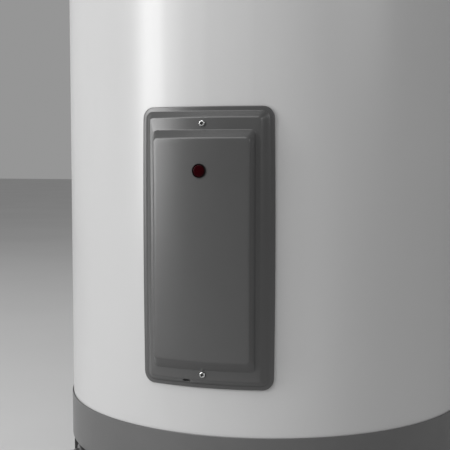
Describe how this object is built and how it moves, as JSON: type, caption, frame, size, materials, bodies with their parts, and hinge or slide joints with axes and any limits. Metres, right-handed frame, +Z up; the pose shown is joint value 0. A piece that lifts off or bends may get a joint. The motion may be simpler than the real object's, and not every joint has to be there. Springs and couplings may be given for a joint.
{
  "type": "tank water heater",
  "caption": "Upright electric storage water heater: steel tank in a light grey jacket, charcoal base, stepped access panels with red lamps, relief and drain valves.",
  "frame": {"origin": "centre of the base on the floor", "axes": "+Z up the tank's axis, the access panels face -Y, the relief valve is on +X"},
  "size_m": [0.6257, 0.5388, 1.275],
  "materials": {
    "base_plastic": "charcoal moulded polypropylene, fine texture",
    "panel_plastic": "charcoal moulded ABS, satin",
    "cap_plastic": "charcoal moulded plastic",
    "jacket_paint": "light grey baked enamel on sheet steel",
    "white_eps": "expanded polystyrene foam",
    "yellow_foam": "rigid polyurethane foam",
    "enamelled_steel": "steel with fired glass lining",
    "bare_steel": "mill steel",
    "zinc_steel": "zinc plated steel",
    "bright_steel": "bright zinc plate",
    "spring_steel": "spring steel",
    "galvanised_sheet": "galvanised sheet",
    "green_steel": "green dyed zinc",
    "blue_plastic": "blue polyethylene",
    "red_plastic": "red polyethylene",
    "white_plastic": "natural nylon",
    "cream_plastic": "cream thermoset",
    "black_plastic": "black nylon",
    "grey_conduit": "grey PVC tube",
    "wire_jacket": "PVC wire cover",
    "phenolic": "black phenolic",
    "magnesium": "extruded magnesium",
    "cast_brass": "sand cast brass",
    "turned_brass": "turned brass",
    "copper_tube": "copper",
    "seat_rubber": "EPDM rubber",
    "element_sheath": "nickel alloy sheath",
    "red_lens": "dark red translucent lens"
  },
  "bodies": {
    "tank_and_jacket": {"anode_head": "bare_steel", "anode_rod": "magnesium", "base_foam_pad": "white_eps", "base_pan": "base_plastic", "cold_collar": "blue_plastic", "cold_inlet_nipple": "zinc_steel", "dip_tube": "white_plastic", "drain_body": "white_plastic", "element_terminal_blocks": "phenolic", "ground_screw": "green_steel", "high_limit_switch": "phenolic", "hot_collar": "red_plastic", "hot_outlet_nipple": "zinc_steel", "insulation_foam": "yellow_foam", "jacket": "jacket_paint", "junction_box": "galvanised_sheet", "lead_wires": "wire_jacket", "lower_element_gasket": "seat_rubber", "lower_element_loop": "element_sheath", "lower_element_plug": "turned_brass", "lower_thermostat_body": "phenolic", "lower_thermostat_bracket": "spring_steel", "relief_body": "cast_brass", "relief_bonnet": "turned_brass", "relief_lever_pin": "bright_steel", "relief_spring": "spring_steel", "tank_bottom_head": "enamelled_steel", "tank_shell": "enamelled_steel", "tank_spuds": "bare_steel", "tank_top_head": "enamelled_steel", "terminal_screws": "bright_steel", "top_cap": "cap_plastic", "upper_element_gasket": "seat_rubber", "upper_element_loop": "element_sheath", "upper_element_plug": "turned_brass", "upper_thermostat_body": "phenolic", "upper_thermostat_bracket": "spring_steel", "wire_conduits": "grey_conduit"},
    "relief_lever": {"relief_lever": "zinc_steel"},
    "relief_stem": {"relief_stem": "turned_brass", "relief_disc": "seat_rubber", "relief_probe": "copper_tube"},
    "drain_sleeve": {"drain_seal": "seat_rubber"},
    "drain_knob": {"drain_knob": "cap_plastic"},
    "reset_button": {"reset_button": "red_plastic"},
    "junction_cover": {"junction_cover": "galvanised_sheet", "cover_screws": "bright_steel"},
    "upper_dial": {"upper_thermostat_dial": "cream_plastic"},
    "upper_panel": {"upper_access_panel": "panel_plastic", "upper_panel_screws": "bright_steel", "upper_indicator_lens": "red_lens", "upper_lamp_body": "black_plastic"},
    "upper_block": {"upper_insulation_block": "white_eps"},
    "lower_dial": {"lower_thermostat_dial": "cream_plastic"},
    "lower_panel": {"lower_access_panel": "panel_plastic", "lower_panel_screws": "bright_steel", "lower_indicator_lens": "red_lens", "lower_lamp_body": "black_plastic"},
    "lower_block": {"lower_insulation_block": "white_eps"}
  },
  "joints": [
    {"name": "relief_lever_lift", "type": "hinge", "parent": "tank_and_jacket", "child": "relief_lever", "pos_m": [0.357, 0, 1.071], "axis": [0, 1, 0], "range_deg": [0, 25]},
    {"name": "relief_stem_lift", "type": "slide", "parent": "tank_and_jacket", "child": "relief_stem", "axis": [1, 0, 0], "range_m": [0, 0.004], "deforming": ["relief_spring"]},
    {"name": "drain_sleeve_travel", "type": "slide", "parent": "tank_and_jacket", "child": "drain_sleeve", "axis": [-0.8192, -0.5736, 0], "range_m": [0, 0.004]},
    {"name": "drain_knob_turn", "type": "hinge", "parent": "drain_sleeve", "child": "drain_knob", "pos_m": [-0.20479, -0.14339, 0.067], "axis": [-0.8192, -0.5736, 0], "range_deg": [0, 720]},
    {"name": "reset_button_press", "type": "slide", "parent": "tank_and_jacket", "child": "reset_button", "axis": [0, 1, 0], "range_m": [0, 0.002], "stiffness_N_per_m": 400},
    {"name": "junction_cover_lift", "type": "slide", "parent": "tank_and_jacket", "child": "junction_cover", "axis": [0, 0, 1], "range_m": [0, 0.06]},
    {"name": "lower_dial_turn", "type": "hinge", "parent": "tank_and_jacket", "child": "lower_dial", "pos_m": [0, -0.232, 0.3425], "axis": [0, -1, 0], "range_deg": [-90, 150]},
    {"name": "lower_panel_pull", "type": "slide", "parent": "tank_and_jacket", "child": "lower_panel", "axis": [0, -1, 0], "range_m": [0, 0.12]},
    {"name": "lower_block_pull", "type": "slide", "parent": "tank_and_jacket", "child": "lower_block", "axis": [0, -1, 0], "range_m": [0, 0.06]},
    {"name": "upper_dial_turn", "type": "hinge", "parent": "tank_and_jacket", "child": "upper_dial", "pos_m": [0, -0.232, 0.8925], "axis": [0, -1, 0], "range_deg": [-90, 150]},
    {"name": "upper_panel_pull", "type": "slide", "parent": "tank_and_jacket", "child": "upper_panel", "axis": [0, -1, 0], "range_m": [0, 0.12]},
    {"name": "upper_block_pull", "type": "slide", "parent": "tank_and_jacket", "child": "upper_block", "axis": [0, -1, 0], "range_m": [0, 0.06]}
  ],
  "couplings": [
    {"joint": "relief_stem_lift", "follows": "relief_lever_lift", "m_per_rad": 0.009},
    {"joint": "drain_sleeve_travel", "follows": "drain_knob_turn", "m_per_rad": 0.00031751},
    {"joint": "lower_block_pull", "follows": "lower_panel_pull", "ratio": 0.5},
    {"joint": "upper_block_pull", "follows": "upper_panel_pull", "ratio": 0.5}
  ]
}
